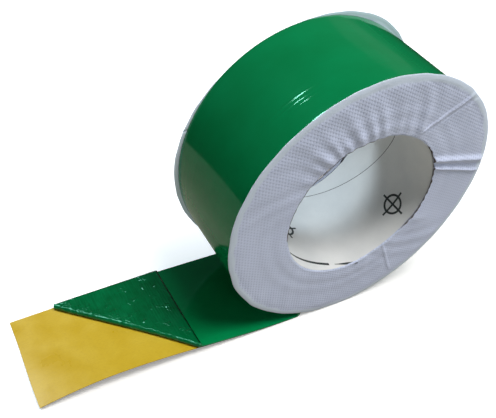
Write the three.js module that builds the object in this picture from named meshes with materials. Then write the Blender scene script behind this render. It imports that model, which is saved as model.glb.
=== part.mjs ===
// A roll of wide green film tape on a paperboard core, with fabric side discs and a short
// unwound tail. Millimetres. +Z is up, the roll's axis lies along Y, and the tail runs to -X.
// The origin is on the ground, under the middle of the whole object.
import * as THREE from 'three';

// Driving dimensions
const BORE_RADIUS = 38;
const PACK_RADIUS = 65;
const DISC_RADIUS = 66.4;
const TAPE_WIDTH = 53;
const DISC_THICKNESS = 0.8;
const LINER_THICKNESS = 0.3;
const ADHESIVE_THICKNESS = 0.8;
const FILM_THICKNESS = 0.3;
const LAYER_GAP = 0.1;
const SIDE_GAP = 0.15;
const TAIL_LENGTH = 148;
const FLAP_START = 74;
const CORE_PLIES = [
  { name: 'core_bore_ply', thickness: 0.5, material: 'whitePaper' },
  { name: 'core_board_ply_inner', thickness: 1.1, material: 'greyBoard' },
  { name: 'core_board_ply_middle', thickness: 1.1, material: 'greyBoard' },
  { name: 'core_board_ply_outer', thickness: 1.1, material: 'greyBoard' },
  { name: 'core_outer_ply', thickness: 0.4, material: 'kraftPaper' },
];
const PACK_BANDS = ['pack_turns_inner', 'pack_turns_middle', 'pack_turns_outer'];

// Details that follow from how the tape bends and folds
const RING_STEPS = 72;
const RIM_BEVEL = 0.25;
const BEND_RADIUS = 0.8;
const BEND_CLEARANCE = 0.4;
const BEND_STEPS = 10;
const ACROSS_STEPS = 8;
const FOLD_RADIUS = 0.25;
const FOLD_STEPS = 8;
const CREASE_STEPS = 14;
const FLAP_STEPS = 8;
const FLAP_CLEARANCE = 0.4;
const FLAP_TIP = 0.5;
const ARCH_HEIGHT = 6.6;
const ARCH_START_X = 15;
const ARCH_TOP_X = -72;
const ARCH_QUARTER = 44;
const DRIFT_START_X = -35;
const DRIFT = 2.6;

// Worked out from the dimensions above
const ADHESIVE_UNDERSIDE = LINER_THICKNESS + LAYER_GAP;
const FILM_UNDERSIDE = ADHESIVE_UNDERSIDE + ADHESIVE_THICKNESS + LAYER_GAP;
const TAPE_THICKNESS = FILM_UNDERSIDE + FILM_THICKNESS;
const ROLL_X = (TAIL_LENGTH - DISC_RADIUS) / 2;
const ROLL_Z = DISC_RADIUS;
const BEND_Z = TAPE_THICKNESS + BEND_RADIUS;
const BEND_REACH = PACK_RADIUS + BEND_CLEARANCE + TAPE_THICKNESS + BEND_RADIUS;
const BEND_RISE = ROLL_Z - BEND_Z;
const BEND_X = ROLL_X - Math.sqrt(BEND_REACH ** 2 - BEND_RISE ** 2);
const BEND_TOP_ANGLE = Math.atan2(BEND_RISE, ROLL_X - BEND_X);
const CREASE_Z = TAPE_THICKNESS + FOLD_RADIUS;
const CREASE_HALF_LENGTH = TAPE_WIDTH / Math.SQRT2;
const FOLD_OUTER_RADIUS = FOLD_RADIUS + FILM_THICKNESS + LAYER_GAP + ADHESIVE_THICKNESS;
const TAIL_END_X = ROLL_X - TAIL_LENGTH;

const materials = {
  whitePaper: { color: 0xe4e2e0, roughness: 0.8 },
  greyBoard: { color: 0xa39c92, roughness: 0.9 },
  kraftPaper: { color: 0xb99d77, roughness: 0.9 },
  greenFilm: { color: 0x0a8a4b, roughness: 0.2 },
  greenAdhesive: { color: 0x0a6b3c, roughness: 0.35 },
  yellowLiner: { color: 0xd2ac32, roughness: 0.6 },
  woundTape: { color: 0x3c7a3a, roughness: 0.5 },
  whiteFabric: { color: 0xd6d8e6, roughness: 0.9 },
};

function piece(name, geometry, materialName) {
  const finish = { metalness: 0, ...materials[materialName] };
  const mesh = new THREE.Mesh(geometry, new THREE.MeshStandardMaterial(finish));
  mesh.name = name;
  return mesh;
}

// A closed profile of [radius, place along the axis] points, turned about Y.
function turned(profile) {
  const points = [...profile, profile[0]].map(([radius, along]) => new THREE.Vector2(radius, along));
  return new THREE.LatheGeometry(points, RING_STEPS);
}

function ring(innerRadius, outerRadius) {
  const half = TAPE_WIDTH / 2;
  return turned([
    [innerRadius, -half],
    [outerRadius, -half],
    [outerRadius, half],
    [innerRadius, half],
  ]);
}

// Core: a white printed ply in the bore, board plies, and a cover ply, each inside the next.
function addCore(roll) {
  let radius = BORE_RADIUS;
  for (const ply of CORE_PLIES) {
    roll.add(piece(ply.name, ring(radius, radius + ply.thickness), ply.material));
    radius += ply.thickness + LAYER_GAP;
  }
  return radius;
}

// Pack: the wound turns in bands, under one outer turn with its liner, adhesive and film.
function addPack(roll, innerRadius) {
  const turnInner = PACK_RADIUS - TAPE_THICKNESS;
  const pitch = (turnInner - innerRadius) / PACK_BANDS.length;
  PACK_BANDS.forEach((name, index) => {
    const start = innerRadius + index * pitch;
    roll.add(piece(name, ring(start, start + pitch - LAYER_GAP), 'woundTape'));
  });
  const layers = [
    ['outer_turn_liner', 0, LINER_THICKNESS, 'yellowLiner'],
    ['outer_turn_adhesive', ADHESIVE_UNDERSIDE, ADHESIVE_THICKNESS, 'greenAdhesive'],
    ['outer_turn_film', FILM_UNDERSIDE, FILM_THICKNESS, 'greenFilm'],
  ];
  for (const [name, underside, thickness, material] of layers) {
    const start = turnInner + underside;
    roll.add(piece(name, ring(start, start + thickness), material));
  }
}

// A side disc is a thin ring with a bevelled rim that stands a little proud of the pack.
function addSideDisc(roll, name, side) {
  const inner = BORE_RADIUS + LAYER_GAP;
  const half = DISC_THICKNESS / 2;
  const geometry = turned([
    [inner, -half],
    [DISC_RADIUS - RIM_BEVEL, -half],
    [DISC_RADIUS, 0],
    [DISC_RADIUS - RIM_BEVEL, half],
    [inner, half],
  ]);
  const disc = piece(name, geometry, 'whiteFabric');
  disc.position.y = side * (TAPE_WIDTH / 2 + SIDE_GAP + half);
  roll.add(disc);
}

// The crease crosses the tail at 45 degrees, from its near edge to its far edge.
function creaseX(across) {
  return ROLL_X - FLAP_START - (across + TAPE_WIDTH / 2);
}

function smoothStep(value, start, end) {
  const t = THREE.MathUtils.clamp((value - start) / (end - start), 0, 1);
  return t * t * (3 - 2 * t);
}

// The unwound tape arches up along its near edge, which draws its far edge in towards the end.
function relax(geometry) {
  const position = geometry.attributes.position;
  for (let index = 0; index < position.count; index += 1) {
    const x = position.getX(index);
    const y = position.getY(index);
    const nearness = THREE.MathUtils.clamp(0.5 - y / TAPE_WIDTH, 0, 1);
    const rising = smoothStep(ARCH_START_X - x, 0, ARCH_START_X - ARCH_TOP_X);
    const past = THREE.MathUtils.clamp((ARCH_TOP_X - x) / ARCH_QUARTER, 0, 1);
    const profile = x > ARCH_TOP_X ? rising : Math.cos(past * Math.PI / 2);
    const run = THREE.MathUtils.clamp((DRIFT_START_X - x) / (DRIFT_START_X - TAIL_END_X), 0, 1);
    position.setY(index, y - DRIFT * run ** 1.2 * (1 - nearness));
    position.setZ(index, position.getZ(index) + ARCH_HEIGHT * profile * nearness ** 1.5);
  }
  return geometry;
}

// One layer of the tail: it bends out of the nip under the roll, then runs along the ground to its end.
function tailLayer(underside, thickness, end, alongSteps) {
  const steps = BEND_STEPS + alongSteps;
  const geometry = new THREE.BoxGeometry(1, 1, 1, steps, ACROSS_STEPS, 1);
  const position = geometry.attributes.position;
  for (let index = 0; index < position.count; index += 1) {
    const step = Math.round((0.5 - position.getX(index)) * steps);
    const across = position.getY(index) * TAPE_WIDTH;
    const height = underside + (position.getZ(index) + 0.5) * thickness;
    if (step <= BEND_STEPS) {
      const angle = THREE.MathUtils.lerp(BEND_TOP_ANGLE, -Math.PI / 2, step / BEND_STEPS);
      const radius = BEND_RADIUS + TAPE_THICKNESS - height;
      position.setXYZ(index, BEND_X + radius * Math.cos(angle), across, BEND_Z + radius * Math.sin(angle));
    } else {
      const x = THREE.MathUtils.lerp(BEND_X, end(across), (step - BEND_STEPS) / alongSteps);
      position.setXYZ(index, x, across, height);
    }
  }
  return relax(geometry);
}

function addTail(root) {
  const filmEnd = (across) => creaseX(across) + LAYER_GAP * 3;
  const linerEnd = () => TAIL_END_X;
  const liner = tailLayer(0, LINER_THICKNESS, linerEnd, 24);
  const adhesive = tailLayer(ADHESIVE_UNDERSIDE, ADHESIVE_THICKNESS, filmEnd, 16);
  const film = tailLayer(FILM_UNDERSIDE, FILM_THICKNESS, filmEnd, 16);
  root.add(piece('tail_liner', liner, 'yellowLiner'));
  root.add(piece('tail_adhesive', adhesive, 'greenAdhesive'));
  root.add(piece('tail_film', film, 'greenFilm'));
}

// Half of a tube along the crease, on the side away from the roll.
function foldShell(innerRadius, outerRadius) {
  const shape = new THREE.Shape();
  shape.absarc(0, 0, outerRadius, Math.PI / 2, Math.PI * 1.5, false);
  shape.absarc(0, 0, innerRadius, Math.PI * 1.5, Math.PI / 2, true);
  shape.closePath();
  const length = 2 * (CREASE_HALF_LENGTH - FOLD_OUTER_RADIUS);
  const geometry = new THREE.ExtrudeGeometry(shape, {
    depth: length,
    steps: CREASE_STEPS,
    bevelEnabled: false,
    curveSegments: FOLD_STEPS,
  });
  geometry.translate(0, 0, -length / 2);
  const sectionAcrossCrease = new THREE.Matrix4().makeBasis(
    new THREE.Vector3(0, 1, 0),
    new THREE.Vector3(0, 0, 1),
    new THREE.Vector3(1, 0, 0),
  );
  return geometry.applyMatrix4(sectionAcrossCrease);
}

// A right-angled triangle whose long side runs beside the crease, with its free corner just blunt.
function flapSheet(underside, thickness) {
  const start = FOLD_OUTER_RADIUS + FLAP_CLEARANCE;
  const geometry = new THREE.BoxGeometry(1, 1, 1, CREASE_STEPS, FLAP_STEPS, 1);
  const position = geometry.attributes.position;
  for (let index = 0; index < position.count; index += 1) {
    const out = THREE.MathUtils.lerp(start, CREASE_HALF_LENGTH - FLAP_TIP, position.getY(index) + 0.5);
    const along = 2 * position.getX(index) * (CREASE_HALF_LENGTH - out);
    position.setXYZ(index, along, out, underside + (position.getZ(index) + 0.5) * thickness);
  }
  return geometry;
}

// The end of the film and its adhesive, folded back over the tail along the crease.
function addFoldedEnd(root) {
  const creaseToRow = new THREE.Matrix4().makeRotationZ(-Math.PI / 4).setPosition(creaseX(0), 0, CREASE_Z);
  const addAtCrease = (name, geometry, material) => {
    root.add(piece(name, relax(geometry.applyMatrix4(creaseToRow)), material));
  };
  const filmOuter = FOLD_RADIUS + FILM_THICKNESS;
  const adhesiveInner = filmOuter + LAYER_GAP;
  addAtCrease('fold_film', foldShell(FOLD_RADIUS, filmOuter), 'greenFilm');
  addAtCrease('fold_adhesive', foldShell(adhesiveInner, FOLD_OUTER_RADIUS), 'greenAdhesive');
  addAtCrease('flap_film', flapSheet(FOLD_RADIUS, FILM_THICKNESS), 'greenFilm');
  addAtCrease('flap_adhesive', flapSheet(adhesiveInner, ADHESIVE_THICKNESS), 'greenAdhesive');
}

function buildTapeRoll() {
  const root = new THREE.Group();
  const roll = new THREE.Group();
  roll.position.set(ROLL_X, 0, ROLL_Z);
  const coreOuterRadius = addCore(roll);
  addPack(roll, coreOuterRadius);
  addSideDisc(roll, 'near_side_disc', -1);
  addSideDisc(roll, 'far_side_disc', 1);
  root.add(roll);
  addTail(root);
  addFoldedEnd(root);
  return root;
}

export default buildTapeRoll();
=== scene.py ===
"""A roll of wide green film tape with fabric side discs, a board core and an unwound tail.

The end of the film is folded back over the tail, so that its adhesive and the bare liner show.
"""
import math

import bpy
import numpy as np
from mathutils import Matrix, Vector


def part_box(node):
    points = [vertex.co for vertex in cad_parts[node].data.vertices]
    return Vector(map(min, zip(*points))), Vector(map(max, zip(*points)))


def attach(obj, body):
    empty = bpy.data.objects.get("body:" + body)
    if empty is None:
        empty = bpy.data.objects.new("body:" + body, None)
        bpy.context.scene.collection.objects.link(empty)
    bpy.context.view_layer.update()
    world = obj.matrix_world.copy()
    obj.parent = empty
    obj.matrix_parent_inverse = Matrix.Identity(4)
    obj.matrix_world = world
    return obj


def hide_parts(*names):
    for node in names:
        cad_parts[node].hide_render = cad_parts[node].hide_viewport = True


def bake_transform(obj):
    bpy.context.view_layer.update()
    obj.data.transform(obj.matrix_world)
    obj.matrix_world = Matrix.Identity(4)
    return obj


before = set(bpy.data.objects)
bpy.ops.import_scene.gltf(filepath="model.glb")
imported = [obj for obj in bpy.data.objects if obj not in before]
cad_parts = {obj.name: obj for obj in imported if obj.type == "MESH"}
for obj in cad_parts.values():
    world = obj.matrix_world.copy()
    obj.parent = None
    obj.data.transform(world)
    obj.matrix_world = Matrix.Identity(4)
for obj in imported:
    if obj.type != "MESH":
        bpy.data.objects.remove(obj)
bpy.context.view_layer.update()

MM = 0.001


# ---------------------------------------------------------------- dimensions
def centre_and_radius(node):
    low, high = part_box(node)
    centre = (low + high) / 2
    return centre, (high.x - low.x) / 2


ROLL_CENTRE, PACK_RADIUS = centre_and_radius("outer_turn_film")
DISC_RADIUS = centre_and_radius("near_side_disc")[1]
BORE_RADIUS = 38 * MM
TAPE_HALF_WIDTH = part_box("outer_turn_film")[1].y

# The tail's layers, its bend in the nip under the roll, and the fold at its end
LINER_TOP = 0.3 * MM
LINER_INSET = 0.3 * MM
FILM_UNDERSIDE = 1.3 * MM
TAIL_TOP = 1.6 * MM
BEND_RADIUS = 0.8 * MM
BEND_CLEARANCE = 0.4 * MM
TAIL_END_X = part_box("tail_liner")[0].x
FLAP_START_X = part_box("flap_film")[1].x
FOLD_GAP = 0.25 * MM
LAMINATE = 1.2 * MM
CREASE_Z = TAIL_TOP + FOLD_GAP
CREASE_HALF = TAPE_HALF_WIDTH * math.sqrt(2)

# How the tail arches off the ground, as it does in the CAD
ARCH_HEIGHT = 6.6 * MM
ARCH_START_X = 15 * MM
ARCH_TOP_X = -72 * MM
ARCH_QUARTER = 44 * MM
DRIFT_START_X = -35 * MM
DRIFT = 2.6 * MM

# Worked out from the dimensions above
BEND_Z = TAIL_TOP + BEND_RADIUS
BEND_REACH = PACK_RADIUS + BEND_CLEARANCE + TAIL_TOP + BEND_RADIUS
BEND_RISE = ROLL_CENTRE.z - BEND_Z
BEND_X = ROLL_CENTRE.x - math.sqrt(BEND_REACH**2 - BEND_RISE**2)
BEND_TOP_ANGLE = math.atan2(BEND_RISE, ROLL_CENTRE.x - BEND_X)


# ---------------------------------------------------------------- mesh tools
def make_object(name, points, faces):
    """A smooth mesh from its points and faces, with its sharp edges kept."""
    sharp_from = math.radians(35)
    mesh = bpy.data.meshes.new(name)
    mesh.from_pydata(points.reshape(-1, 3).tolist(), [], faces)
    mesh.update()
    mesh.polygons.foreach_set("use_smooth", [True] * len(mesh.polygons))
    mesh.set_sharp_from_angle(angle=sharp_from)
    piece = bpy.data.objects.new(name, mesh)
    bpy.context.scene.collection.objects.link(piece)
    return piece


def grid_faces(ids, closed_u=False, closed_v=False, flip=False):
    """Quads over a grid of vertex numbers, joined end to end where a direction is closed."""
    rows = np.concatenate([ids, ids[:1]]) if closed_u else ids
    grid = np.concatenate([rows, rows[:, :1]], axis=1) if closed_v else rows
    quads = [grid[:-1, :-1], grid[1:, :-1], grid[1:, 1:], grid[:-1, 1:]]
    stacked = np.stack(quads, axis=-1).reshape(-1, 4)
    return (stacked[:, ::-1] if flip else stacked).tolist()


def shell(name, outer, inner, closed_u=False):
    """A closed sheet between two grids of points; outer faces the way of u cross v."""
    steps_u, steps_v = outer.shape[:2]
    count = steps_u * steps_v
    top = np.arange(count).reshape(steps_u, steps_v)
    under = top + count
    faces = grid_faces(top, closed_u) + grid_faces(under, closed_u, flip=True)
    faces += grid_faces(np.stack([under[:, 0], top[:, 0]], axis=1), closed_u)
    faces += grid_faces(np.stack([top[:, -1], under[:, -1]], axis=1), closed_u)
    if not closed_u:
        faces += grid_faces(np.stack([under[0], top[0]], axis=1), flip=True)
        faces += grid_faces(np.stack([top[-1], under[-1]], axis=1), flip=True)
    return make_object(name, np.concatenate([outer.reshape(-1, 3), inner.reshape(-1, 3)]), faces)


def swept_ring(name, section):
    """A closed section, given by angle as radii and places along Y, turned about the roll's axis."""
    angles = np.linspace(0, 2 * math.pi, 360, endpoint=False)
    radius, along = section(angles)
    points = np.stack(
        [
            ROLL_CENTRE.x + radius * np.cos(angles)[:, None],
            along,
            ROLL_CENTRE.z + radius * np.sin(angles)[:, None],
        ],
        axis=-1,
    )
    ids = np.arange(points.shape[0] * points.shape[1]).reshape(points.shape[:2])
    return make_object(name, points, grid_faces(ids, closed_u=True, closed_v=True))


def paint_points(piece, label, above, below):
    """A value for each point of a shell, which its material can read: its outer face, then its inner."""
    layer = piece.data.attributes.new(label, "FLOAT", "POINT")
    layer.data.foreach_set("value", np.concatenate([above.reshape(-1), below.reshape(-1)]))


def bump_at(value, centre, width):
    return np.exp(-(((value - centre) / width) ** 2))


def angle_bump(angle, centre_deg, width_deg):
    off = (np.degrees(angle) - centre_deg + 180) % 360 - 180
    return np.exp(-((off / width_deg) ** 2))


def ripple(value, count, shortest, longest, seed):
    """A smooth random line of unit size, as a sum of sines with wavelengths between two limits."""
    rng = np.random.default_rng(seed)
    total = np.zeros_like(value)
    for _ in range(count):
        wavelength = shortest * (longest / shortest) ** rng.random()
        total += np.sin(2 * math.pi * value / wavelength + rng.random() * 2 * math.pi)
    return total / math.sqrt(count)


def ripple_round(angle, count, least, most, seed):
    """The same round a circle, with a whole number of waves."""
    rng = np.random.default_rng(seed)
    total = np.zeros_like(angle)
    for _ in range(count):
        total += np.sin(rng.integers(least, most + 1) * angle + rng.random() * 2 * math.pi)
    return total / math.sqrt(count)


def smooth_step(value, start, end):
    t = np.clip((value - start) / (end - start), 0, 1)
    return t * t * (3 - 2 * t)


# ---------------------------------------------------------------- material tools
class Look:
    """A material with one Principled shader, and short calls for the nodes that feed it."""

    def __init__(self, name, **constants):
        self.material = bpy.data.materials.new(name)
        self.material.use_nodes = True
        self.tree = self.material.node_tree
        self.shader = self.tree.nodes["Principled BSDF"]
        for socket, value in constants.items():
            self.shader.inputs[socket.replace("_", " ")].default_value = value
        self.place = self.tree.nodes.new("ShaderNodeTexCoord").outputs["Object"]

    def node(self, kind, inputs=None, **settings):
        node = self.tree.nodes.new(kind)
        for name, value in settings.items():
            setattr(node, name, value)
        for socket, value in (inputs or {}).items():
            if isinstance(value, bpy.types.NodeSocket):
                self.tree.links.new(value, node.inputs[socket])
            else:
                node.inputs[socket].default_value = value
        return node

    def mapped(self, scale=(1, 1, 1), rotation=(0, 0, 0), location=(0, 0, 0)):
        inputs = {"Vector": self.place, "Scale": scale, "Rotation": rotation, "Location": location}
        return self.node("ShaderNodeMapping", inputs).outputs["Vector"]

    def noise(self, size, detail=3, roughness=0.5, stretch=(1, 1, 1)):
        """Noise with features about size metres across, stretched along each axis."""
        scale = tuple(1 / (size * s) for s in stretch)
        inputs = {"Vector": self.mapped(scale), "Scale": 1.0, "Detail": detail, "Roughness": roughness}
        return self.node("ShaderNodeTexNoise", inputs).outputs["Fac"]

    def waves(self, pitch, rotation):
        """Even bands across X before the rotation, brightest at the origin."""
        period_at_one = math.pi / 10
        scale = period_at_one / pitch
        vector = self.mapped((scale, scale, scale), rotation)
        inputs = {"Vector": vector, "Scale": 1.0, "Distortion": 0.0, "Phase Offset": math.pi / 2}
        return self.node("ShaderNodeTexWave", inputs, bands_direction="X").outputs["Fac"]

    def attribute(self, name):
        return self.node("ShaderNodeAttribute", attribute_name=name).outputs["Fac"]

    def spread(self, value, low, high, from_low=0.0, from_high=1.0):
        inputs = {"Value": value, "From Min": from_low, "From Max": from_high, "To Min": low, "To Max": high}
        return self.node("ShaderNodeMapRange", inputs).outputs["Result"]

    def calculate(self, operation, first, second):
        return self.node("ShaderNodeMath", {0: first, 1: second}, operation=operation).outputs[0]

    def mix(self, factor, first, second):
        node = self.node("ShaderNodeMix", data_type="RGBA")
        for socket, value in ((node.inputs[0], factor), (node.inputs[6], first), (node.inputs[7], second)):
            if isinstance(value, bpy.types.NodeSocket):
                self.tree.links.new(value, socket)
            elif isinstance(value, tuple):
                socket.default_value = (*value, 1.0)
            else:
                socket.default_value = value
        return node.outputs[2]

    def feed(self, socket, output):
        self.tree.links.new(output, self.shader.inputs[socket])

    def bump(self, height, depth, strength=1.0, base=None):
        inputs = {"Height": height, "Distance": depth, "Strength": strength}
        if base is not None:
            inputs["Normal"] = base
        return self.node("ShaderNodeBump", inputs).outputs["Normal"]


# ---------------------------------------------------------------- materials
def film_look(name, bright, deep):
    """Glossy film: drawn lines along the tape, faint clouding and a slightly uneven gloss."""
    look = Look(name, IOR=1.5, Specular_Tint=(0.32, 1.0, 0.82, 1.0))
    clouds = look.noise(26 * MM, detail=4)
    fine = look.noise(2.4 * MM, detail=3, stretch=(9, 1, 9))
    colour = look.mix(look.spread(clouds, 0, 1, 0.3, 0.7), deep, bright)
    look.feed("Base Color", look.mix(look.spread(fine, 0, 0.2, 0.35, 0.7), colour, deep))
    look.feed("Roughness", look.spread(look.noise(9 * MM, stretch=(4, 1, 4)), 0.06, 0.15, 0.3, 0.7))
    drawn = look.bump(look.noise(1.1 * MM, detail=2, stretch=(30, 1, 30)), 0.0015 * MM, 0.6)
    look.feed("Normal", look.bump(look.noise(14 * MM, detail=2, stretch=(2, 1, 2)), 0.03 * MM, 0.5, drawn))
    return look.material


def adhesive_look(name):
    """Tacky backing: coated ribs, and wet, pitted spots that glint, most of them by the crease. Along the
    flap's free edge, its edge value paints the adhesive almost black as shade.
    """
    look = Look(name, IOR=1.5, Specular_Tint=(0.32, 1.0, 0.82, 1.0))
    patches = look.noise(8 * MM, detail=4)
    lines = look.noise(0.8 * MM, detail=3, stretch=(1, 16, 1))
    colour = look.mix(look.spread(patches, 0, 1, 0.3, 0.7), (0.0, 0.13, 0.036), (0.001, 0.18, 0.058))
    colour = look.mix(look.spread(lines, 0, 0.45, 0.4, 0.75), colour, (0.0, 0.065, 0.017))
    # Painted shade: where the edge value is 1, the adhesive turns almost black.
    look.feed("Base Color", look.mix(look.attribute("edge"), colour, (0.001, 0.018, 0.006)))
    look.feed("Roughness", look.spread(look.noise(2.5 * MM), 0.24, 0.09, 0.35, 0.65))
    ribs = look.bump(lines, 0.05 * MM, 0.7)
    worked = look.calculate("MULTIPLY", look.attribute("near_crease"), 0.14)
    wet = look.spread(look.calculate("ADD", look.noise(5 * MM, detail=2), worked), 0, 1, 0.57, 0.68)
    pits = look.bump(look.calculate("MULTIPLY", wet, look.noise(1.1 * MM, detail=2)), 0.5 * MM, 0.9, ribs)
    look.feed("Normal", look.bump(look.noise(6 * MM), 0.12 * MM, 0.5, pits))
    return look.material


def liner_look(name):
    """Siliconised yellow paper: fine fibres, faint blotches and a low sheen."""
    look = Look(name, IOR=1.45)
    blotches = look.noise(12 * MM, detail=4)
    fibres = look.noise(0.55 * MM, detail=4, roughness=0.7, stretch=(2.2, 1, 1))
    colour = look.mix(look.spread(blotches, 0, 1, 0.3, 0.7), (0.425, 0.272, 0.0105), (0.475, 0.32, 0.018))
    look.feed("Base Color", look.mix(look.spread(fibres, 0, 0.5, 0.45, 0.8), colour, (0.34, 0.215, 0.012)))
    look.feed("Roughness", look.spread(blotches, 0.26, 0.4, 0.3, 0.7))
    grain = look.bump(fibres, 0.03 * MM, 0.7)
    look.feed("Normal", look.bump(look.noise(9 * MM), 0.2 * MM, 0.35, grain))
    return look.material


def fabric_look(name):
    """Nonwoven fabric: a staggered lattice of pressed dots, a plain sealed rim, and a dark line along the
    cut edge at the bore, which on the inner face is painted shade.
    """
    look = Look(name, IOR=1.4, Sheen_Weight=0.12, Sheen_Roughness=0.5)
    pitch = 1.42 * MM
    rows = [look.waves(pitch, (0, math.radians(turn), 0)) for turn in (2, 62, -58)]
    crossings = look.calculate("ADD", look.calculate("ADD", rows[0], rows[1]), rows[2])
    dots = look.spread(crossings, 0, 1, 1.35, 2.6)
    rim = look.attribute("rim")
    dark_line_and_shade = look.attribute("dark_line_and_shade")
    fibres = look.noise(0.4 * MM, detail=4, roughness=0.7)
    clouds = look.noise(16 * MM, detail=4)
    pale, deep = (0.69, 0.755, 0.96), (0.515, 0.57, 0.755)
    colour = look.mix(look.spread(dots, 0, 0.7), pale, deep)
    colour = look.mix(look.spread(fibres, 0, 0.4, 0.45, 0.8), colour, deep)
    colour = look.mix(look.spread(clouds, 0, 0.2, 0.4, 0.7), colour, deep)
    sealed = look.mix(look.spread(fibres, 0, 0.35, 0.4, 0.8), (0.7, 0.79, 0.92), (0.6, 0.69, 0.82))
    colour = look.mix(rim, colour, sealed)
    # A near-black line along the cut edge at the bore; on the inner face it is painted shade.
    dark_line_colour = look.mix(look.spread(fibres, 0, 1, 0.35, 0.65), (0.02, 0.016, 0.015), (0.12, 0.09, 0.08))
    look.feed("Base Color", look.mix(dark_line_and_shade, colour, dark_line_colour))
    look.feed("Roughness", look.spread(fibres, 0.7, 0.95, 0.3, 0.7))
    flatness = look.calculate("SUBTRACT", 1.0, rim)
    pressed = look.bump(look.calculate("MULTIPLY", dots, flatness), -0.11 * MM, 0.8)
    look.feed("Normal", look.bump(fibres, 0.07 * MM, 0.7, pressed))
    return look.material


def paper_look(name, pale, deep, fibre_size=0.8 * MM):
    look = Look(name, IOR=1.45)
    clouds = look.noise(22 * MM, detail=4)
    fibres = look.noise(fibre_size, detail=4, roughness=0.65)
    colour = look.mix(look.spread(clouds, 0, 1, 0.3, 0.7), deep, pale)
    look.feed("Base Color", look.mix(look.spread(fibres, 0, 0.3, 0.45, 0.8), colour, deep))
    look.feed("Roughness", look.spread(fibres, 0.62, 0.85, 0.3, 0.7))
    look.feed("Normal", look.bump(fibres, 0.04 * MM, 0.6))
    return look.material


def ink_look(name):
    """Dark print with thin, worn patches."""
    look = Look(name, IOR=1.45)
    wear = look.noise(0.8 * MM, detail=3, roughness=0.7)
    fresh, worn = (0.02, 0.026, 0.028), (0.2, 0.22, 0.23)
    look.feed("Base Color", look.mix(look.spread(wear, 0, 0.6, 0.5, 0.8), fresh, worn))
    look.feed("Roughness", look.spread(wear, 0.55, 0.8, 0.3, 0.7))
    return look.material


def wound_look(name):
    """The edge of the wound turns: liner, adhesive and film repeat with every turn of a spiral."""
    look = Look(name, IOR=1.45)
    pitch = TAIL_TOP + 0.1 * MM
    centre = (-ROLL_CENTRE.x, 0.0, -ROLL_CENTRE.z)
    split = look.node("ShaderNodeSeparateXYZ", {0: look.mapped(location=centre)})
    x, z = split.outputs["X"], split.outputs["Z"]
    squares = look.calculate("ADD", look.calculate("MULTIPLY", x, x), look.calculate("MULTIPLY", z, z))
    radius = look.calculate("SQRT", squares, 0.0)
    share_of_turn = look.calculate("DIVIDE", look.calculate("ARCTAN2", z, x), 2 * math.pi)
    wobble = look.spread(look.noise(3 * MM), -0.08, 0.08)
    turns = look.calculate("ADD", look.calculate("DIVIDE", radius, pitch), wobble)
    phase = look.calculate("FRACT", look.calculate("ADD", turns, share_of_turn), 0.0)
    smear = look.noise(1.5 * MM, detail=4)
    adhesive = look.mix(look.spread(smear, 0, 1, 0.3, 0.7), (0.004, 0.07, 0.02), (0.01, 0.13, 0.04))
    with_liner = look.mix(look.spread(phase, 1, 0, 0.16, 0.2), adhesive, (0.5, 0.34, 0.05))
    look.feed("Base Color", look.mix(look.spread(phase, 0, 1, 0.8, 0.84), with_liner, (0.003, 0.2, 0.06)))
    look.feed("Roughness", look.spread(smear, 0.35, 0.7, 0.3, 0.7))
    look.feed("Normal", look.bump(look.spread(phase, 0, 1, 0.05, 0.25), 0.06 * MM, 0.8))
    return look.material


GREEN_FILM = film_look("green_film", (0.0015, 0.272, 0.088), (0.001, 0.225, 0.066))
GREEN_ADHESIVE = adhesive_look("green_adhesive")
YELLOW_LINER = liner_look("yellow_liner")
WHITE_FABRIC = fabric_look("white_fabric")
WHITE_PAPER = paper_look("white_paper", (0.78, 0.79, 0.79), (0.66, 0.68, 0.69))
GREY_BOARD = paper_look("grey_board", (0.4, 0.36, 0.31), (0.27, 0.24, 0.2), 0.5 * MM)
KRAFT_PAPER = paper_look("kraft_paper", (0.52, 0.4, 0.26), (0.4, 0.3, 0.18), 0.5 * MM)
DARK_INK = ink_look("dark_ink")
WOUND_EDGE = wound_look("wound_edge")


# ---------------------------------------------------------------- pieces
GREEN_PIECES = []


def finish_piece(piece, body, slot, replaced, material):
    """Gives a piece its material and its body, hides the CAD nodes it stands for, and keeps it among the
    green pieces when its slot starts with green.
    """
    piece.data.materials.append(material)
    if slot.startswith("green"):
        GREEN_PIECES.append(piece)
    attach(piece, body)
    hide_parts(*replaced)
    return piece


# ---------------------------------------------------------------- roll
def ring_radii(node):
    """Inner and outer radius of a CAD ring about the roll's axis."""
    points = np.array([vertex.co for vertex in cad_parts[node].data.vertices])
    radii = np.hypot(points[:, 0] - ROLL_CENTRE.x, points[:, 2] - ROLL_CENTRE.z)
    return radii.min(), radii.max()


def layered_ring(node, slot, material, end_waves, depth, seed):
    """A ring whose two ends show the edges of the turns inside it."""
    inner, outer = ring_radii(node)
    half = TAPE_HALF_WIDTH
    radial = np.linspace(inner, outer, end_waves * 6 + 1)
    bevel = min(0.12 * MM, (outer - inner) / 5)

    def section(angles):
        spiral = angles[:, None] / (2 * math.pi)
        phase = (radial[None, :] - inner) / (outer - inner) * end_waves + spiral
        groove = depth * (0.5 - 0.5 * np.cos(2 * math.pi * phase)) ** 4
        rough = 0.02 * MM * ripple_round(angles, 9, 5, 60, seed)[:, None]
        near = -half + groove + np.abs(rough)
        far = half - groove - np.abs(rough)
        near[:, [0, -1]] += bevel
        far[:, [0, -1]] -= bevel
        radius = np.concatenate([radial, radial[::-1]])[None, :].repeat(len(angles), axis=0)
        return radius, np.concatenate([near, far[:, ::-1]], axis=1)

    piece = swept_ring(f"{node}_ring", section)
    return finish_piece(piece, "roll", slot, [node], material)


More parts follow.
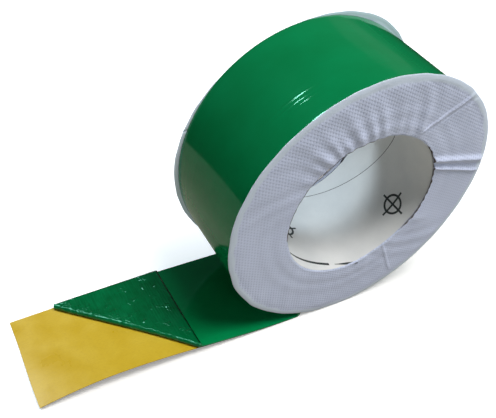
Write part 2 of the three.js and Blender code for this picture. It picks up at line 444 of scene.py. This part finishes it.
def build_core_and_pack():
    layered_ring("core_bore_ply", "white_paper", WHITE_PAPER, 1, 0.05 * MM, 11)
    for index, place in enumerate(("inner", "middle", "outer")):
        layered_ring(f"core_board_ply_{place}", "grey_board", GREY_BOARD, 2, 0.1 * MM, 12 + index)
    layered_ring("core_outer_ply", "kraft_paper", KRAFT_PAPER, 1, 0.05 * MM, 15)
    for index, place in enumerate(("inner", "middle", "outer")):
        layered_ring(f"pack_turns_{place}", "wound_tape", WOUND_EDGE, 4, 0.3 * MM, 16 + index)
    layered_ring("outer_turn_liner", "yellow_liner", YELLOW_LINER, 1, 0.03 * MM, 19)
    layered_ring("outer_turn_adhesive", "green_adhesive", GREEN_ADHESIVE, 1, 0.1 * MM, 20)


# Tight ridges in the film: place across in mm, angle and length in degrees, height and width in mm
FILM_RIDGES = (
    (-13.2, 127, 8, 0.1, 0.38),
    (-11.0, 125, 9, 0.1, 0.34),
    (-15.2, 122, 8, 0.05, 0.3),
    (-24.4, 91, 8, 0.12, 0.4),
    (20.5, 182, 16, 0.05, 0.5),
    (17.2, 190, 14, 0.05, 0.6),
    (11.5, 176, 12, 0.03, 0.5),
    (6.0, 184, 10, 0.03, 0.6),
    (-3.5, 172, 12, 0.025, 0.6),
)


def film_relief(angle, across):
    """How far the outer turn stands off its true radius: drawn lines, tight ridges and a splice."""
    lines = 0.006 * MM * ripple(across, 14, 0.8 * MM, 5 * MM, 31)
    lines = lines * (0.6 + 0.4 * ripple_round(angle, 3, 2, 6, 32))
    swell = 0.05 * MM * ripple_round(angle, 5, 3, 11, 33) * np.cos(across / TAPE_HALF_WIDTH * 1.2)
    ridges = np.zeros_like(lines)
    for place, angle_deg, length_deg, height, width in FILM_RIDGES:
        drift = place * MM + 0.35 * MM * np.sin(3 * angle)
        ridges += height * MM * bump_at(across, drift, width * MM) * angle_bump(angle, angle_deg, length_deg)
    slant = np.degrees(angle) + across / MM * 0.09
    splice = 0.07 * MM * (bump_at(slant, 86, 1.6) + 0.8 * bump_at(slant, 76.5, 2.2))
    edge = -0.22 * MM * smooth_step(np.abs(across), TAPE_HALF_WIDTH - 1.4 * MM, TAPE_HALF_WIDTH)
    return lines + swell + ridges + splice + edge


def film_places():
    """Places across the film, closer together where its tight ridges are."""
    ridges_start, ridges_end = -16 * MM, -8 * MM
    before = np.linspace(-TAPE_HALF_WIDTH, ridges_start, 36)
    ridges = np.linspace(ridges_start, ridges_end, 70)
    after = np.linspace(ridges_end, TAPE_HALF_WIDTH, 112)
    return np.concatenate([before, ridges[1:], after[1:]])


def build_outer_film():
    inner, outer = ring_radii("outer_turn_film")
    angles = np.linspace(0, 2 * math.pi, 720, endpoint=False)[:, None]
    angle_grid, across_grid = np.broadcast_arrays(angles, film_places()[None, :])

    def surface(radius):
        return np.stack(
            [
                ROLL_CENTRE.x + radius * np.cos(angle_grid),
                across_grid,
                ROLL_CENTRE.z + radius * np.sin(angle_grid),
            ],
            axis=-1,
        )

    relief = film_relief(angle_grid, across_grid)
    top = surface(outer + relief)
    under = surface(np.minimum(outer + relief - 0.2 * MM, inner + 0.05 * MM))
    piece = shell("outer_film_turn", top[:, ::-1], under[:, ::-1], closed_u=True)
    finish_piece(piece, "roll", "green_film", ["outer_turn_film"], GREEN_FILM)


def bore_point(angle_deg, along, inset):
    angle = np.radians(angle_deg)
    radius = ring_radii("core_bore_ply")[0] - inset
    return np.stack(
        [
            ROLL_CENTRE.x + radius * np.cos(angle),
            along + 0 * angle,
            ROLL_CENTRE.z + radius * np.sin(angle),
        ],
        axis=-1,
    )


def bore_mark(name, angle_deg, along, width):
    """A thin strip of print in the bore, along a line of angles and places along the axis."""
    bore_radius = ring_radii("core_bore_ply")[0]
    step_arc, step_along = np.gradient(np.radians(angle_deg) * bore_radius), np.gradient(along)
    length = np.hypot(step_arc, step_along)
    side = width / 2
    turn = np.degrees(step_along / length * side / bore_radius)
    shift = -step_arc / length * side
    edges = [(angle_deg + turn * sign, along + shift * sign) for sign in (1, -1)]
    top = np.stack([bore_point(a, y, 0.05 * MM) for a, y in edges], axis=1)
    under = np.stack([bore_point(a, y, 0.015 * MM) for a, y in edges], axis=1)
    piece = shell(name, top, under)
    piece.data.materials.append(DARK_INK)
    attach(piece, "roll")
    return piece


# Ring-and-cross marks: the angle of each one's centre in degrees, and its place along the axis
PRINT_MARKS = ((-31, -14.2 * MM), (89, -14.2 * MM), (-116, 3.5 * MM))

# The dashes of the guide line: start and end angle in degrees, and width in mm
GUIDE_DASHES = ((-168, -101, 1.25), (-96.5, -80, 1.1))


def build_ply_joint():
    angles = np.linspace(-93, 137, 160)
    climb_per_degree = -0.225 * MM
    bore_mark("bore_ply_joint", angles, 5 * MM + climb_per_degree * angles, 0.28 * MM)


def build_guide_line():
    for index, (start, end, thick) in enumerate(GUIDE_DASHES):
        angles = np.linspace(start, end, 50)
        width = thick * MM * (0.35 + 0.85 * smooth_step(angles, start, start + (end - start) * 0.6))
        past = angles + 99
        along = -23.6 * MM - 0.17 * MM * past - 0.0016 * MM * past**2
        bore_mark(f"bore_guide_dash_{index + 1}", angles, along, width)


def build_print_marks():
    radius = 4.6 * MM
    to_degrees = math.degrees(1 / ring_radii("core_bore_ply")[0])
    turn = np.linspace(0, 2 * math.pi, 49)
    reach = np.linspace(-1.6, 1.6, 12) * radius
    for index, (centre, along) in enumerate(PRINT_MARKS):
        ring_angles = centre + to_degrees * radius * np.cos(turn)
        bore_mark(f"bore_print_ring_{index + 1}", ring_angles, along + radius * np.sin(turn), 1.1 * MM)
        bore_mark(f"bore_print_bar_{index + 1}", centre + to_degrees * reach, along + 0 * reach, 1.0 * MM)
        bore_mark(f"bore_print_post_{index + 1}", centre + 0 * reach, along + reach, 1.0 * MM)


# ---------------------------------------------------------------- side discs
def gathers(angle, radius, folds):
    """Ridges of gathered fabric, strongest at the bore."""
    total = np.zeros_like(radius)
    for angle_deg, width_deg, height, reach, twist in folds:
        out = (radius - BORE_RADIUS) / (reach * MM)
        centre = angle_deg + twist * np.clip(out, 0, 1.3)
        fade = np.clip(1 - out, 0, 1) ** 0.9
        widen = 1 + 0.3 * np.clip(out, 0, 1)
        total += height * MM * fade * angle_bump(angle, centre, width_deg * widen)
    return total


def disc_place(angle_deg, radius):
    angle = math.radians(angle_deg)
    return np.array([radius * MM * math.cos(angle), radius * MM * math.sin(angle)])


def line_fold(angle, radius, start, end, width, height):
    """A pressed fold along a straight line between two (angle, radius) places on the disc."""
    x, z = radius * np.cos(angle), radius * np.sin(angle)
    a, b = disc_place(*start), disc_place(*end)
    length = np.linalg.norm(b - a)
    along = (b - a) / length
    place = (x - a[0]) * along[0] + (z - a[1]) * along[1]
    off = (x - a[0]) * -along[1] + (z - a[1]) * along[0]
    fade = smooth_step(place, -2 * MM, 2 * MM) * (1 - smooth_step(place, length - 2 * MM, length + 2 * MM))
    return height * MM * fade * np.exp(-((off / (width * MM)) ** 2))


# Gathers: angle and width in degrees, height and reach in mm, and twist in degrees over the reach
NEAR_GATHERS = (
    (127, 2.8, 1.35, 24, 6),
    (120, 2.2, 1.0, 25, 4),
    (113.2, 2.4, 0.9, 20, 7),
    (105.5, 3.0, 1.35, 27, 8),
    (97.5, 2.6, 1.15, 28, 8),
    (90, 2.6, 1.1, 25, 9),
    (79.5, 2.6, 0.65, 23, 7),
    (71, 2.8, 0.6, 23, 10),
    (61.5, 2.4, 1.1, 23, 10),
    (134, 2.2, 0.7, 18, 4),
    (143, 2.8, 0.45, 16, 3),
    (-28, 3.2, 0.35, 16, 3),
    (-74, 3.6, 0.35, 22, -5),
)

# Pressed folds: where each starts and ends, as (degrees, mm), then its width and height in mm
NEAR_FOLDS = (
    ((60, 41), (47.6, 68), 0.9, 0.5),
    ((57, 42), (44.6, 68), 0.9, -0.2),
    ((27.1, 38), (8.4, 67), 1.5, 1.35),
    ((22.6, 38), (5.2, 67), 0.8, -0.45),
    ((18.6, 38), (2.6, 66), 0.8, 1.0),
    ((-57, 35), (-60, 60), 0.8, 0.25),
)

# Where the rim stands out and where the bore's edge hangs in: angle and width in degrees, size in mm
NEAR_BULGES = ((22, 36, 2.3),)
NEAR_OVERHANGS = ((-55, 34, 1.9), (138, 24, 0.2))
FAR_BULGES = ((178, 26, 0.4), (118, 34, -2.4), (60, 22, 1.6))
FAR_OVERHANGS = ((-45, 18, 0.4), (-35, 2.6, 0.9))

FAR_GATHERS = (
    (40, 2.2, 0.9, 18, -5),
    (48, 1.8, 1.0, 20, -4),
    (57, 2.3, 0.8, 17, -6),
    (66, 2.0, 0.95, 21, -5),
    (120, 2.6, 0.6, 15, 4),
    (171, 2.4, 0.7, 17, 5),
    (-140, 3.0, 0.5, 16, 3),
    (-62, 2.4, 0.8, 19, -6),
    (-45, 19, 3.9, 17, 0),
)
FAR_FOLDS = (
    ((150, 39), (163, 67), 0.5, 0.6),
    ((-96, 38), (-88, 66), 0.6, 0.7),
)


def sum_of_bumps(angles, bumps):
    total = np.zeros_like(angles)
    for centre_deg, width_deg, size in bumps:
        total = total + size * MM * angle_bump(angles, centre_deg, width_deg)
    return total


def disc_outline(angles, bulges, overhangs, seed):
    """The radius of the cut edge at the bore and of the rim, which stays above the ground."""
    rim = DISC_RADIUS + 0.12 * MM * ripple_round(angles, 8, 5, 40, seed) + sum_of_bumps(angles, bulges)
    downward = -np.sin(angles)
    above_ground = np.where(downward > 0.7, DISC_RADIUS / downward.clip(0.7, 1), 1.0)
    uneven = 0.12 * MM * np.abs(ripple_round(angles, 9, 4, 40, seed + 1)).clip(0, 2)
    bore = BORE_RADIUS + 0.1 * MM + uneven - sum_of_bumps(angles, overhangs)
    return bore, np.minimum(rim, above_ground)


def disc_height(angle, radius, from_bore, to_rim, folds, lines, seed):
    """How far the disc's outer face stands off the side of the roll."""
    tacked = 0.45 + 0.55 * smooth_step(from_bore, 0, 5 * MM)
    height = 0.5 * MM + gathers(angle, radius, folds) * tacked
    for start, end, width, rise in lines:
        height = height + line_fold(angle, radius, start, end, width, rise)
    slack = 0.16 * MM * ripple_round(angle + radius * 9, 7, 2, 13, seed + 2)
    slack += 0.07 * MM * ripple_round(angle - radius * 14, 7, 12, 40, seed + 3)
    slack += 0.06 * MM * ripple(radius, 5, 6 * MM, 20 * MM, seed + 4)
    height = height + (slack + 0.12 * MM) * smooth_step(to_rim, 1.5 * MM, 5 * MM)
    bead = 0.12 * MM * bump_at(to_rim, 1.6 * MM, 1.2 * MM)
    turn = np.clip(to_rim / (0.7 * MM), 0, 1)
    roll_off = 0.32 * MM * (1 - np.sqrt(1 - (1 - turn) ** 2))
    tuck = 0.25 * MM * (1 - smooth_step(from_bore, 0, 0.8 * MM))
    pressed = 0.22 * MM * (1 - smooth_step(to_rim, 0, 3 * MM))
    return np.maximum(height + bead - pressed - roll_off - tuck, 0.12 * MM)


def dark_line_angles(angle, start_right):
    """Where round the bore the cut edge shows dark: its top left, and its right from an angle below."""
    degrees = np.degrees(angle)
    left = smooth_step(degrees, 88, 100) * (1 - smooth_step(degrees, 184, 200))
    right = smooth_step(degrees - 360, start_right - 4, start_right + 4) + (1 - smooth_step(degrees, 40, 50))
    return np.clip(left + right, 0, 1)


def disc_paint(angles, from_bore, to_rim, dark_line_from, seed):
    """The plain sealed rim and the dark line along the cut edge, as values from 0 to 1."""
    band = (2.6 + 1.0 * angle_bump(angles, 98, 26) + 0.25 * ripple_round(angles, 8, 6, 50, seed + 6)) * MM
    line_width = np.clip(0.3 + 0.22 * ripple_round(angles, 12, 9, 70, seed + 5), 0.08, 0.8) * MM
    in_cut = 1 - smooth_step(from_bore, line_width, line_width + 0.2 * MM)
    return {
        "rim": 1 - smooth_step(to_rim, band * 0.8, band * 1.25),
        "dark_line_and_shade": in_cut * dark_line_angles(angles, dark_line_from),
    }


def side_disc(name, node, body, side, shape, dark_line_from, seed):
    """A gathered fabric disc with a soft rim, its face side * outwards along Y."""
    folds, lines, bulges, overhangs = shape
    angles = np.linspace(0, 2 * math.pi, 900, endpoint=False)[:, None]
    bore, rim = disc_outline(angles, bulges, overhangs, seed)
    at_bore = np.linspace(0, 0.05, 13)
    between = np.linspace(0.05, 0.9, 60)
    at_rim = np.linspace(0.9, 1, 22)
    radius = bore + (rim - bore) * np.concatenate([at_bore, between[1:], at_rim[1:]])[None, :]
    angle_grid = np.broadcast_to(angles, radius.shape)
    from_bore, to_rim = radius - bore, rim - radius
    height = disc_height(angle_grid, radius, from_bore, to_rim, folds, lines, seed)
    thinnest, thickness = 0.02 * MM, 0.4 * MM
    down = np.minimum((height - thickness).clip(thinnest, None), thinnest + from_bore)
    face = TAPE_HALF_WIDTH + 0.15 * MM

    def surface(stand):
        return np.stack(
            [
                ROLL_CENTRE.x + radius * np.cos(angle_grid),
                side * (face + stand),
                ROLL_CENTRE.z + radius * np.sin(angle_grid),
            ],
            axis=-1,
        )

    paint = disc_paint(angles, from_bore, to_rim, dark_line_from, seed)
    top, under = surface(height), surface(down)
    if side > 0:
        top, under = top[:, ::-1], under[:, ::-1]
        paint = {label: values[:, ::-1] for label, values in paint.items()}
    piece = shell(name, top, under, closed_u=True)
    paint_points(piece, "rim", paint["rim"], paint["rim"])
    # The inner face takes a third of the dark line as painted shade, so the collar at the bore stays dim
    # where light grazes it.
    paint_points(piece, "dark_line_and_shade", paint["dark_line_and_shade"], paint["dark_line_and_shade"] * 0.3)
    finish_piece(piece, body, "white_fabric", [node], WHITE_FABRIC)
    return piece


def build_side_discs():
    near_shape = (NEAR_GATHERS, NEAR_FOLDS, NEAR_BULGES, NEAR_OVERHANGS)
    far_shape = (FAR_GATHERS, FAR_FOLDS, FAR_BULGES, FAR_OVERHANGS)
    side_disc("near_fabric_disc", "near_side_disc", "near_disc", -1, near_shape, -38, 81)
    return side_disc("far_fabric_disc", "far_side_disc", "far_disc", 1, far_shape, -84, 91)


# ---------------------------------------------------------------- tail
def crease_x(across):
    return FLAP_START_X - (across + TAPE_HALF_WIDTH)


def relaxed(points):
    """The tail arches up along its near edge, which draws its far edge in towards the end, as in the CAD."""
    x, y, z = points[..., 0], points[..., 1], points[..., 2]
    rising = smooth_step(ARCH_START_X - x, 0, ARCH_START_X - ARCH_TOP_X)
    falling = np.cos(np.clip((ARCH_TOP_X - x) / ARCH_QUARTER, 0, 1) * math.pi / 2)
    nearness = np.clip(0.5 - y / (2 * TAPE_HALF_WIDTH), 0, 1)
    lift = ARCH_HEIGHT * np.where(x > ARCH_TOP_X, rising, falling) * nearness**1.5
    run = np.clip((DRIFT_START_X - x) / (DRIFT_START_X - TAIL_END_X), 0, 1)
    drift = DRIFT * run**1.2 * (1 - nearness)
    return np.stack([x, y - drift, z + lift], axis=-1)


def tail_surface(height, end, rise):
    """Points of a layer's face: round the bend in the nip, then along the ground to its end."""
    inset = LINER_INSET if height <= LINER_TOP else 0.0
    across = np.linspace(-TAPE_HALF_WIDTH + inset, TAPE_HALF_WIDTH, 90)[None, :]
    angles = np.linspace(BEND_TOP_ANGLE, -math.pi / 2, 26)[:, None]
    radius = BEND_RADIUS + TAIL_TOP - height
    bend_x = BEND_X + radius * np.cos(angles) + 0 * across
    bend_z = BEND_Z + radius * np.sin(angles) + 0 * across
    share = np.linspace(0, 1, 151)[1:, None]
    flat_x = BEND_X + (end(across) - BEND_X) * share
    flat_z = height + rise(flat_x, across + 0 * flat_x)
    x, z = np.concatenate([bend_x, flat_x]), np.concatenate([bend_z, flat_z])
    return relaxed(np.stack([x, np.broadcast_to(across, x.shape), z], axis=-1))


def film_wave(x, across):
    """The film's top is almost flat, and rolls down along its two long edges."""
    ease = smooth_step(BEND_X - x, 0, 8 * MM) * smooth_step(x - crease_x(across), 0, 6 * MM)
    swell = 0.05 * MM * np.sin(x / (9 * MM)) * np.cos(across / (11 * MM))
    lines = 0.008 * MM * ripple(across, 12, 1.2 * MM, 6 * MM, 51)
    return ease * (swell + lines) - edge_drop(across) * smooth_step(x - crease_x(across), 0, 3 * MM)


def edge_drop(across):
    near = 0.5 * MM * smooth_step(-across, TAPE_HALF_WIDTH - 4.5 * MM, TAPE_HALF_WIDTH)
    far = 0.2 * MM * smooth_step(across, TAPE_HALF_WIDTH - 2 * MM, TAPE_HALF_WIDTH)
    return near + far


def no_rise(x, across):
    return 0 * x


def film_end(across):
    return crease_x(across) + 0.3 * MM


def liner_end(across):
    return TAIL_END_X + 0.15 * MM * np.sin(across / (8 * MM)) + 0.15 * MM


def tail_layer(name, node, slot, material, end, under, top):
    """One layer of the tail, between two faces that are each a height and how it rises."""
    faces = [tail_surface(height, end, rise)[:, ::-1] for height, rise in (top, under)]
    return finish_piece(shell(name, *faces), "tail", slot, [node], material)


def build_tail():
    liner_faces = (0.0, no_rise), (LINER_TOP, no_rise)
    adhesive_faces = (LINER_TOP + 0.06 * MM, no_rise), (FILM_UNDERSIDE - 0.03 * MM, film_wave)
    film_faces = (FILM_UNDERSIDE, film_wave), (TAIL_TOP, film_wave)
    tail_layer("tail_liner_paper", "tail_liner", "yellow_liner", YELLOW_LINER, liner_end, *liner_faces)
    tail_layer(
        "tail_adhesive_layer", "tail_adhesive", "green_adhesive", GREEN_ADHESIVE, film_end, *adhesive_faces
    )
    tail_layer("tail_film_strip", "tail_film", "green_film", GREEN_FILM, film_end, *film_faces)


# ---------------------------------------------------------------- folded end
def from_crease(local):
    """From places along, across and above the crease to the row's frame."""
    turn = Matrix.Rotation(-math.pi / 4, 3, "Z")
    origin = np.array([crease_x(0.0), 0.0, CREASE_Z])
    return relaxed(local @ np.array(turn).T + origin)


def build_fold():
    """The rounded fold: adhesive outside, film inside, curving from the tail over into the flap."""
    along = np.linspace(-1, 1, 260)[:, None]
    angles = np.linspace(-math.pi / 2, -math.pi * 1.5, 28)[None, :]
    uneven = 0.045 * ripple(along * CREASE_HALF, 12, 1.2 * MM, 5 * MM, 61)
    pucker = 1 + uneven * np.sin(angles + math.pi / 2)

    def surface(radius):
        x = (CREASE_HALF - 0.1 * MM - 0.5 * radius * np.abs(np.cos(angles))) * along
        y = radius * pucker * np.cos(angles)
        z = radius * np.sin(angles) + 0 * along
        return from_crease(np.stack([x, y, z], axis=-1))

    outside, inside = surface(FOLD_GAP + LAMINATE), surface(FOLD_GAP)
    piece = shell("crease_fold", outside, inside)
    piece.data.materials.append(GREEN_ADHESIVE)
    piece.data.materials.append(GREEN_FILM)
    faces_a_side = (outside.shape[0] - 1) * (outside.shape[1] - 1)
    index = np.zeros(len(piece.data.polygons), int)
    index[faces_a_side : 2 * faces_a_side] = 1
    piece.data.polygons.foreach_set("material_index", index)
    everywhere = np.ones(outside.shape[:2])
    paint_points(piece, "near_crease", everywhere, everywhere)
    GREEN_PIECES.append(piece)
    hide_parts("fold_film", "fold_adhesive")
    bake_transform(piece)


def flap_places():
    """A triangle beside the crease, as rows that shorten towards its free corner."""
    out = np.linspace(0, 0.992, 150)[None, :]
    along = np.linspace(-1, 1, 260)[:, None]
    return along * (CREASE_HALF - 0.2 * MM) * (1 - out), out * CREASE_HALF + 0 * along


def flap_surface(height, relief):
    x, y = flap_places()
    return from_crease(np.stack([x, y, height + relief(x, y)], axis=-1))


def flap_edge(x, y):
    """How far a place is from the flap's two free edges."""
    return (CREASE_HALF - y - np.abs(x)) / math.sqrt(2)


def flap_sag(x, y):
    """The flap settles on the tail away from the crease."""
    settled = -0.1 * MM * smooth_step(y, 2 * MM, 14 * MM)
    return settled + 0.05 * MM * np.sin(x / (7 * MM)) * smooth_step(y, 0, 5 * MM)


def flap_top(x, y):
    """The adhesive's coated ribs, rounded off at the flap's free edges."""
    run = (x + y) / math.sqrt(2)
    ribs = 0.035 * MM * ripple(run, 14, 0.9 * MM, 3.2 * MM, 71) * (0.6 + 0.4 * np.sin((y - x) / (8 * MM)))
    rounded = 0.55 * MM * (1 - smooth_step(flap_edge(x, y), 0, 1.1 * MM))
    return flap_sag(x, y) + ribs * smooth_step(y, 0, 2 * MM) - rounded


def build_flap():
    film_low, film_high = FOLD_GAP, FOLD_GAP + 0.3 * MM
    film = shell("flap_film_sheet", flap_surface(film_high, flap_sag), flap_surface(film_low, flap_sag))
    finish_piece(film, "flap", "green_film", ["flap_film"], GREEN_FILM)
    low, high = film_high + 0.02 * MM, FOLD_GAP + LAMINATE
    adhesive = shell("flap_adhesive_layer", flap_surface(high, flap_top), flap_surface(low, flap_sag))
    finish_piece(adhesive, "flap", "green_adhesive", ["flap_adhesive"], GREEN_ADHESIVE)
    x, y = flap_places()
    # Painted shade along the flap's free edge, carried to the adhesive as its edge value.
    painted_edge_shade = 1 - smooth_step((CREASE_HALF - y - x) / math.sqrt(2), 0.5 * MM, 1.3 * MM)
    worked = (1 - smooth_step(y, 1.5 * MM, 5 * MM)) * smooth_step(10 * MM - x, 0, 14 * MM)
    for label, values in (("edge", painted_edge_shade), ("near_crease", worked)):
        paint_points(adhesive, label, values, values)


# ---------------------------------------------------------------- scene
def build_camera():
    azimuth, elevation, roll = (math.radians(value) for value in (-33.76, 41.79, 8.3))
    back = Vector(
        (
            math.sin(azimuth) * math.cos(elevation),
            -math.cos(azimuth) * math.cos(elevation),
            math.sin(elevation),
        )
    )
    level_right = Vector((0, 0, 1)).cross(back).normalized()
    level_up = back.cross(level_right)
    right = math.cos(roll) * level_right + math.sin(roll) * level_up
    up = back.cross(right)
    target = Vector((ROLL_CENTRE.x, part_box("near_side_disc")[0].y, 66 * MM))
    camera_data = bpy.data.cameras.new("camera")
    camera_data.sensor_width = 36
    camera_data.lens = 49.83
    camera_data.clip_start = 0.01
    camera = bpy.data.objects.new("camera", camera_data)
    camera.matrix_world = Matrix((right, up, back)).transposed().to_4x4()
    camera.location = target - 50.75 * MM * right - 0.13 * MM * up + 302.4 * MM * back
    bpy.context.scene.collection.objects.link(camera)
    bpy.context.scene.camera = camera


def area_light(name, direction, distance, size, power, colour):
    """A soft light that faces the roll from a direction."""
    light_data = bpy.data.lights.new(name, "AREA")
    light_data.shape = "RECTANGLE"
    light_data.size, light_data.size_y = size
    light_data.energy = power
    light_data.color = colour
    light = bpy.data.objects.new(name, light_data)
    away = Vector(direction).normalized()
    light.location = ROLL_CENTRE + away * distance
    light.rotation_euler = (-away).to_track_quat("-Z", "Y").to_euler()
    bpy.context.scene.collection.objects.link(light)
    return light


def height_ramp(tree, height, stops):
    """Grey levels by the height of a direction, from the horizon up."""
    ramp = tree.nodes.new("ShaderNodeValToRGB")
    while len(ramp.color_ramp.elements) < len(stops):
        ramp.color_ramp.elements.new(0.5)
    for element, (position, level) in zip(ramp.color_ramp.elements, stops):
        element.position = position
        element.color = (level * 0.94, level * 0.98, level, 1)
    tree.links.new(height, ramp.inputs["Fac"])
    return ramp.outputs["Color"]


def build_world():
    """A pale room, plain white to the camera, with its own soft surroundings for gloss."""
    world = bpy.data.worlds.new("studio")
    bpy.context.scene.world = world
    world.use_nodes = True
    tree = world.node_tree
    background = tree.nodes["Background"]
    place = tree.nodes.new("ShaderNodeTexCoord")
    split = tree.nodes.new("ShaderNodeSeparateXYZ")
    tree.links.new(place.outputs["Generated"], split.inputs[0])
    height = split.outputs["Z"]
    ambient = height_ramp(tree, height, ((0.0, 0.12), (0.3, 0.12), (0.8, 0.15)))
    gloss = height_ramp(tree, height, ((0.0, 0.015), (0.15, 0.05), (0.4, 0.08), (0.8, 0.09)))
    ray = tree.nodes.new("ShaderNodeLightPath")
    by_gloss, by_camera = (tree.nodes.new("ShaderNodeMix") for _ in range(2))
    for choice, kind, otherwise in (
        (by_gloss, "Is Glossy Ray", ambient),
        (by_camera, "Is Camera Ray", by_gloss.outputs[2]),
    ):
        choice.data_type = "RGBA"
        tree.links.new(ray.outputs[kind], choice.inputs[0])
        tree.links.new(otherwise, choice.inputs[6])
    tree.links.new(gloss, by_gloss.inputs[7])
    by_camera.inputs[7].default_value = (0.93, 0.93, 0.93, 1)
    tree.links.new(by_camera.outputs[2], background.inputs["Color"])


def flat_card(name, corners, look):
    card = make_object(name, np.array(corners), [(0, 1, 2, 3)])
    card.data.materials.append(look.material)
    return card


def build_floor():
    """A pale floor that only the camera sees: the bounce table does its work for every other ray."""
    half, below = 1.6, -0.1 * MM
    look = Look("pale_floor", IOR=1.4)
    clouds = look.noise(60 * MM, detail=3)
    tones = (0.86, 0.86, 0.86), (0.88, 0.88, 0.88)
    look.feed("Base Color", look.mix(look.spread(clouds, 0, 1, 0.3, 0.7), *tones))
    look.feed("Roughness", look.spread(clouds, 0.7, 0.8))
    look.shader.inputs["Emission Color"].default_value = (1.0, 1.0, 1.0, 1.0)
    look.shader.inputs["Emission Strength"].default_value = 0.28
    corners = [(-half, -half, 0), (half, -half, 0), (half, half, 0), (-half, half, 0)]
    floor = flat_card("floor", corners, look)
    floor.location.z = below
    floor.visible_diffuse = False
    floor.visible_glossy = False
    floor.visible_shadow = False


def build_bounce_table():
    """A warm table just under the floor, out of the camera's sight, that ends behind the roll."""
    left, right, front, back, below = -0.5, 0.7, -0.7, 0.19, -0.2 * MM
    look = Look("plain_table", Roughness=0.8)
    grain = look.noise(30 * MM, detail=4, stretch=(6, 1, 1))
    tones = (0.225, 0.195, 0.145), (0.28, 0.243, 0.182)
    look.feed("Base Color", look.mix(look.spread(grain, 0, 1, 0.3, 0.7), *tones))
    corners = [(left, front, 0), (right, front, 0), (right, back, 0), (left, back, 0)]
    table = flat_card("bounce_table", corners, look)
    table.location.z = below
    table.visible_camera = False
    table.visible_shadow = False


def build_standing_card():
    """A low card behind the roll, out of the camera's sight, that only shows in gloss."""
    turned, half_length, top = math.radians(43), 0.35, 0.11
    along = Vector((math.cos(turned), math.sin(turned), 0)) * half_length
    foot = Vector((ROLL_CENTRE.x - 0.225, 0.215, 0))
    look = Look("standing_card", Roughness=0.9)
    shade = look.noise(50 * MM, detail=2)
    tones = (0.0128, 0.0128, 0.0121), (0.0173, 0.0173, 0.0164)
    look.feed("Base Color", look.mix(look.spread(shade, 0, 1, 0.3, 0.7), *tones))
    ends = (foot - along, foot + along)
    corners = [(*point.xy, 0.0) for point in ends] + [(*point.xy, top) for point in ends[::-1]]
    card = flat_card("standing_card", corners, look)
    card.visible_camera = False
    card.visible_diffuse = False
    card.visible_shadow = False


def aim_light(light, pieces, state):
    """Keeps a light off some pieces, or on them alone, as a flag or a snoot on the set would."""
    collection = bpy.data.collections.new(f"{light.name}_receivers")
    for piece in pieces:
        collection.objects.link(piece)
    for entry in collection.collection_objects:
        entry.light_linking.link_state = state
    light.light_linking.receiver_collection = collection


def build_lights(far_disc):
    area_light("key", (0.2, -0.24, 0.95), 2.4, (1.0, 1.0), 52.0, (1.0, 0.985, 0.96))
    skylight = area_light("skylight", (-0.31, 0.38, 0.87), 2.0, (0.4, 0.4), 28.0, (0.8, 0.92, 1.0))
    aim_light(skylight, GREEN_PIECES, "EXCLUDE")
    rim_light = area_light("rim_light", (-0.62, -0.7, 0.35), 1.2, (0.4, 0.4), 3.2, (1.0, 0.98, 0.93))
    aim_light(rim_light, [far_disc], "INCLUDE")
    area_light("front_fill", (0.4, -0.88, 0.25), 1.1, (0.7, 0.5), 1.9, (0.86, 0.93, 1.0))
    area_light("window", (0.67, 0.66, 0.42), 1.0, (0.24, 0.3), 0.022, (1.0, 1.0, 1.0))
    for name, direction, size, power in (
        ("overhead_glint", (-0.14, 0.08, 0.97), (0.2, 0.2), 9.0),
        ("streak_glint", (-0.31, 0.38, 0.87), (0.4, 0.4), 20.0),
    ):
        glint = area_light(name, direction, 2.0, size, power, (1.0, 1.0, 1.0))
        glint.visible_diffuse = False
    bpy.context.scene.view_settings.view_transform = "Standard"


build_camera()
build_world()
build_floor()
build_bounce_table()
build_standing_card()
build_core_and_pack()
build_outer_film()
build_ply_joint()
build_guide_line()
build_print_marks()
far_disc = build_side_discs()
build_tail()
build_fold()
build_flap()
build_lights(far_disc)
